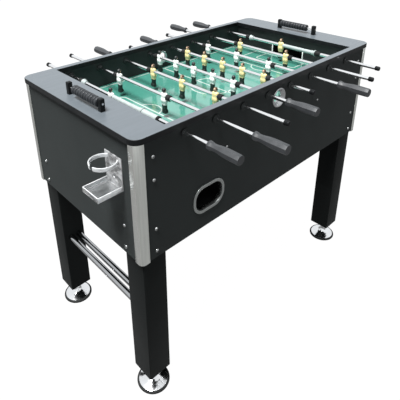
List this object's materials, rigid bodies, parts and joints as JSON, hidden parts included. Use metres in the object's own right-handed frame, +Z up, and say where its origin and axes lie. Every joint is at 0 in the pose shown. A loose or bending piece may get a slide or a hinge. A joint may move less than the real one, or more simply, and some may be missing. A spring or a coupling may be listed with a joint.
{
  "type": "table football table",
  "caption": "Free-standing table football table with eight sliding, turning player rods, goals, ball returns, score counters and levelling feet.",
  "frame": {"origin": "on the floor under the middle of the table", "axes": "X along the playfield from the end with the first keeper's goal, rods along Y, front long side at -Y, Z up"},
  "size_m": [1.302, 1.0936, 0.988],
  "materials": {
    "cabinet_black": "black laminate on fibreboard, satin",
    "top_grey": "grey laminate on fibreboard, satin, black edge band",
    "field_green": "gloss printed playfield, green with white lines",
    "liner_black": "black fibreboard, satin",
    "white_plastic": "semi-gloss white moulded plastic",
    "yellow_plastic": "semi-gloss yellow moulded plastic",
    "black_plastic": "matte black moulded plastic",
    "rubber_black": "matte black rubber",
    "grip_grey": "matte dark grey rubber grip",
    "rod_chrome": "polished chrome-plated steel",
    "steel_chrome": "polished chrome-plated steel",
    "aluminium_satin": "satin anodised extrusion",
    "silver_plastic": "silver-plated moulded plastic",
    "clear_plastic": "clear moulded plastic, gloss"
  },
  "bodies": {
    "cabinet": {"front_apron": "cabinet_black", "rear_apron": "cabinet_black", "left_end_apron": "cabinet_black", "right_end_apron": "cabinet_black", "legs": "cabinet_black", "top_side_rails": "top_grey", "top_end_decks": "top_grey", "playfield": "field_green", "playfield_bearers": "liner_black", "inner_end_walls": "liner_black", "goal_boxes": "liner_black", "goal_posts": "white_plastic", "ball_return_scoops": "black_plastic", "ball_return_bezels": "silver_plastic", "ball_entry_cups": "silver_plastic", "rod_bearings": "black_plastic", "corner_profiles": "aluminium_satin", "leg_crossbars": "steel_chrome", "fasteners": "steel_chrome", "cup_holders": "clear_plastic", "scorer_posts": "black_plastic", "scorer_rods": "steel_chrome"},
    "score_beads_left": {"scorer_beads_left": "black_plastic"},
    "score_beads_right": {"scorer_beads_right": "black_plastic"},
    "leveller_front_left_foot": {"leveller_front_left": "steel_chrome"},
    "leveller_front_right_foot": {"leveller_front_right": "steel_chrome"},
    "leveller_rear_left_foot": {"leveller_rear_left": "steel_chrome"},
    "leveller_rear_right_foot": {"leveller_rear_right": "steel_chrome"},
    "rod_1_slide": {"rod_1_bumpers": "rubber_black"},
    "rod_1_spin": {"rod_1": "rod_chrome", "rod_1_players": "white_plastic", "rod_1_grips": "grip_grey"},
    "rod_2_slide": {"rod_2_bumpers": "rubber_black"},
    "rod_2_spin": {"rod_2": "rod_chrome", "rod_2_players": "white_plastic", "rod_2_grips": "grip_grey"},
    "rod_3_slide": {"rod_3_bumpers": "rubber_black"},
    "rod_3_spin": {"rod_3": "rod_chrome", "rod_3_players": "yellow_plastic", "rod_3_grips": "grip_grey"},
    "rod_4_slide": {"rod_4_bumpers": "rubber_black"},
    "rod_4_spin": {"rod_4": "rod_chrome", "rod_4_players": "white_plastic", "rod_4_grips": "grip_grey"},
    "rod_5_slide": {"rod_5_bumpers": "rubber_black"},
    "rod_5_spin": {"rod_5": "rod_chrome", "rod_5_players": "yellow_plastic", "rod_5_grips": "grip_grey"},
    "rod_6_slide": {"rod_6_bumpers": "rubber_black"},
    "rod_6_spin": {"rod_6": "rod_chrome", "rod_6_players": "white_plastic", "rod_6_grips": "grip_grey"},
    "rod_7_slide": {"rod_7_bumpers": "rubber_black"},
    "rod_7_spin": {"rod_7": "rod_chrome", "rod_7_players": "yellow_plastic", "rod_7_grips": "grip_grey"},
    "rod_8_slide": {"rod_8_bumpers": "rubber_black"},
    "rod_8_spin": {"rod_8": "rod_chrome", "rod_8_players": "yellow_plastic", "rod_8_grips": "grip_grey"}
  },
  "joints": [
    {"name": "rod_1_push", "type": "slide", "parent": "cabinet", "child": "rod_1_slide", "axis": [0, 1, 0], "range_m": [-0.0867, 0.0567]},
    {"name": "rod_1_turn", "type": "hinge", "parent": "rod_1_slide", "child": "rod_1_spin", "pos_m": [-0.4116, 0, 0.912], "axis": [0, 1, 0], "continuous": true},
    {"name": "rod_2_push", "type": "slide", "parent": "cabinet", "child": "rod_2_slide", "axis": [0, 1, 0], "range_m": [-0.1743, 0.0913]},
    {"name": "rod_2_turn", "type": "hinge", "parent": "rod_2_slide", "child": "rod_2_spin", "pos_m": [-0.294, 0, 0.912], "axis": [0, 1, 0], "continuous": true},
    {"name": "rod_3_push", "type": "slide", "parent": "cabinet", "child": "rod_3_slide", "axis": [0, 1, 0], "range_m": [-0.0673, 0.1333]},
    {"name": "rod_3_turn", "type": "hinge", "parent": "rod_3_slide", "child": "rod_3_spin", "pos_m": [-0.1764, 0, 0.912], "axis": [0, 1, 0], "continuous": true},
    {"name": "rod_4_push", "type": "slide", "parent": "cabinet", "child": "rod_4_slide", "axis": [0, 1, 0], "range_m": [-0.0963, 0.0283]},
    {"name": "rod_4_turn", "type": "hinge", "parent": "rod_4_slide", "child": "rod_4_spin", "pos_m": [-0.0588, 0, 0.912], "axis": [0, 1, 0], "continuous": true},
    {"name": "rod_5_push", "type": "slide", "parent": "cabinet", "child": "rod_5_slide", "axis": [0, 1, 0], "range_m": [-0.0623, 0.0623]},
    {"name": "rod_5_turn", "type": "hinge", "parent": "rod_5_slide", "child": "rod_5_spin", "pos_m": [0.0588, 0, 0.912], "axis": [0, 1, 0], "continuous": true},
    {"name": "rod_6_push", "type": "slide", "parent": "cabinet", "child": "rod_6_slide", "axis": [0, 1, 0], "range_m": [-0.1313, 0.0633]},
    {"name": "rod_6_turn", "type": "hinge", "parent": "rod_6_slide", "child": "rod_6_spin", "pos_m": [0.1764, 0, 0.912], "axis": [0, 1, 0], "continuous": true},
    {"name": "rod_7_push", "type": "slide", "parent": "cabinet", "child": "rod_7_slide", "axis": [0, 1, 0], "range_m": [-0.1383, 0.1383]},
    {"name": "rod_7_turn", "type": "hinge", "parent": "rod_7_slide", "child": "rod_7_spin", "pos_m": [0.294, 0, 0.912], "axis": [0, 1, 0], "continuous": true},
    {"name": "rod_8_push", "type": "slide", "parent": "cabinet", "child": "rod_8_slide", "axis": [0, 1, 0], "range_m": [-0.0887, 0.1047]},
    {"name": "rod_8_turn", "type": "hinge", "parent": "rod_8_slide", "child": "rod_8_spin", "pos_m": [0.4116, 0, 0.912], "axis": [0, 1, 0], "continuous": true},
    {"name": "score_left", "type": "slide", "parent": "cabinet", "child": "score_beads_left", "axis": [0, 1, 0], "range_m": [-0.0002, 0.0245]},
    {"name": "score_right", "type": "slide", "parent": "cabinet", "child": "score_beads_right", "axis": [0, 1, 0], "range_m": [-0.0245, 0.0003]},
    {"name": "leveller_front_left_screw", "type": "slide", "parent": "cabinet", "child": "leveller_front_left_foot", "axis": [0, 0, -1], "range_m": [0, 0.02]},
    {"name": "leveller_front_right_screw", "type": "slide", "parent": "cabinet", "child": "leveller_front_right_foot", "axis": [0, 0, -1], "range_m": [0, 0.02]},
    {"name": "leveller_rear_left_screw", "type": "slide", "parent": "cabinet", "child": "leveller_rear_left_foot", "axis": [0, 0, -1], "range_m": [0, 0.02]},
    {"name": "leveller_rear_right_screw", "type": "slide", "parent": "cabinet", "child": "leveller_rear_right_foot", "axis": [0, 0, -1], "range_m": [0, 0.02]}
  ]
}
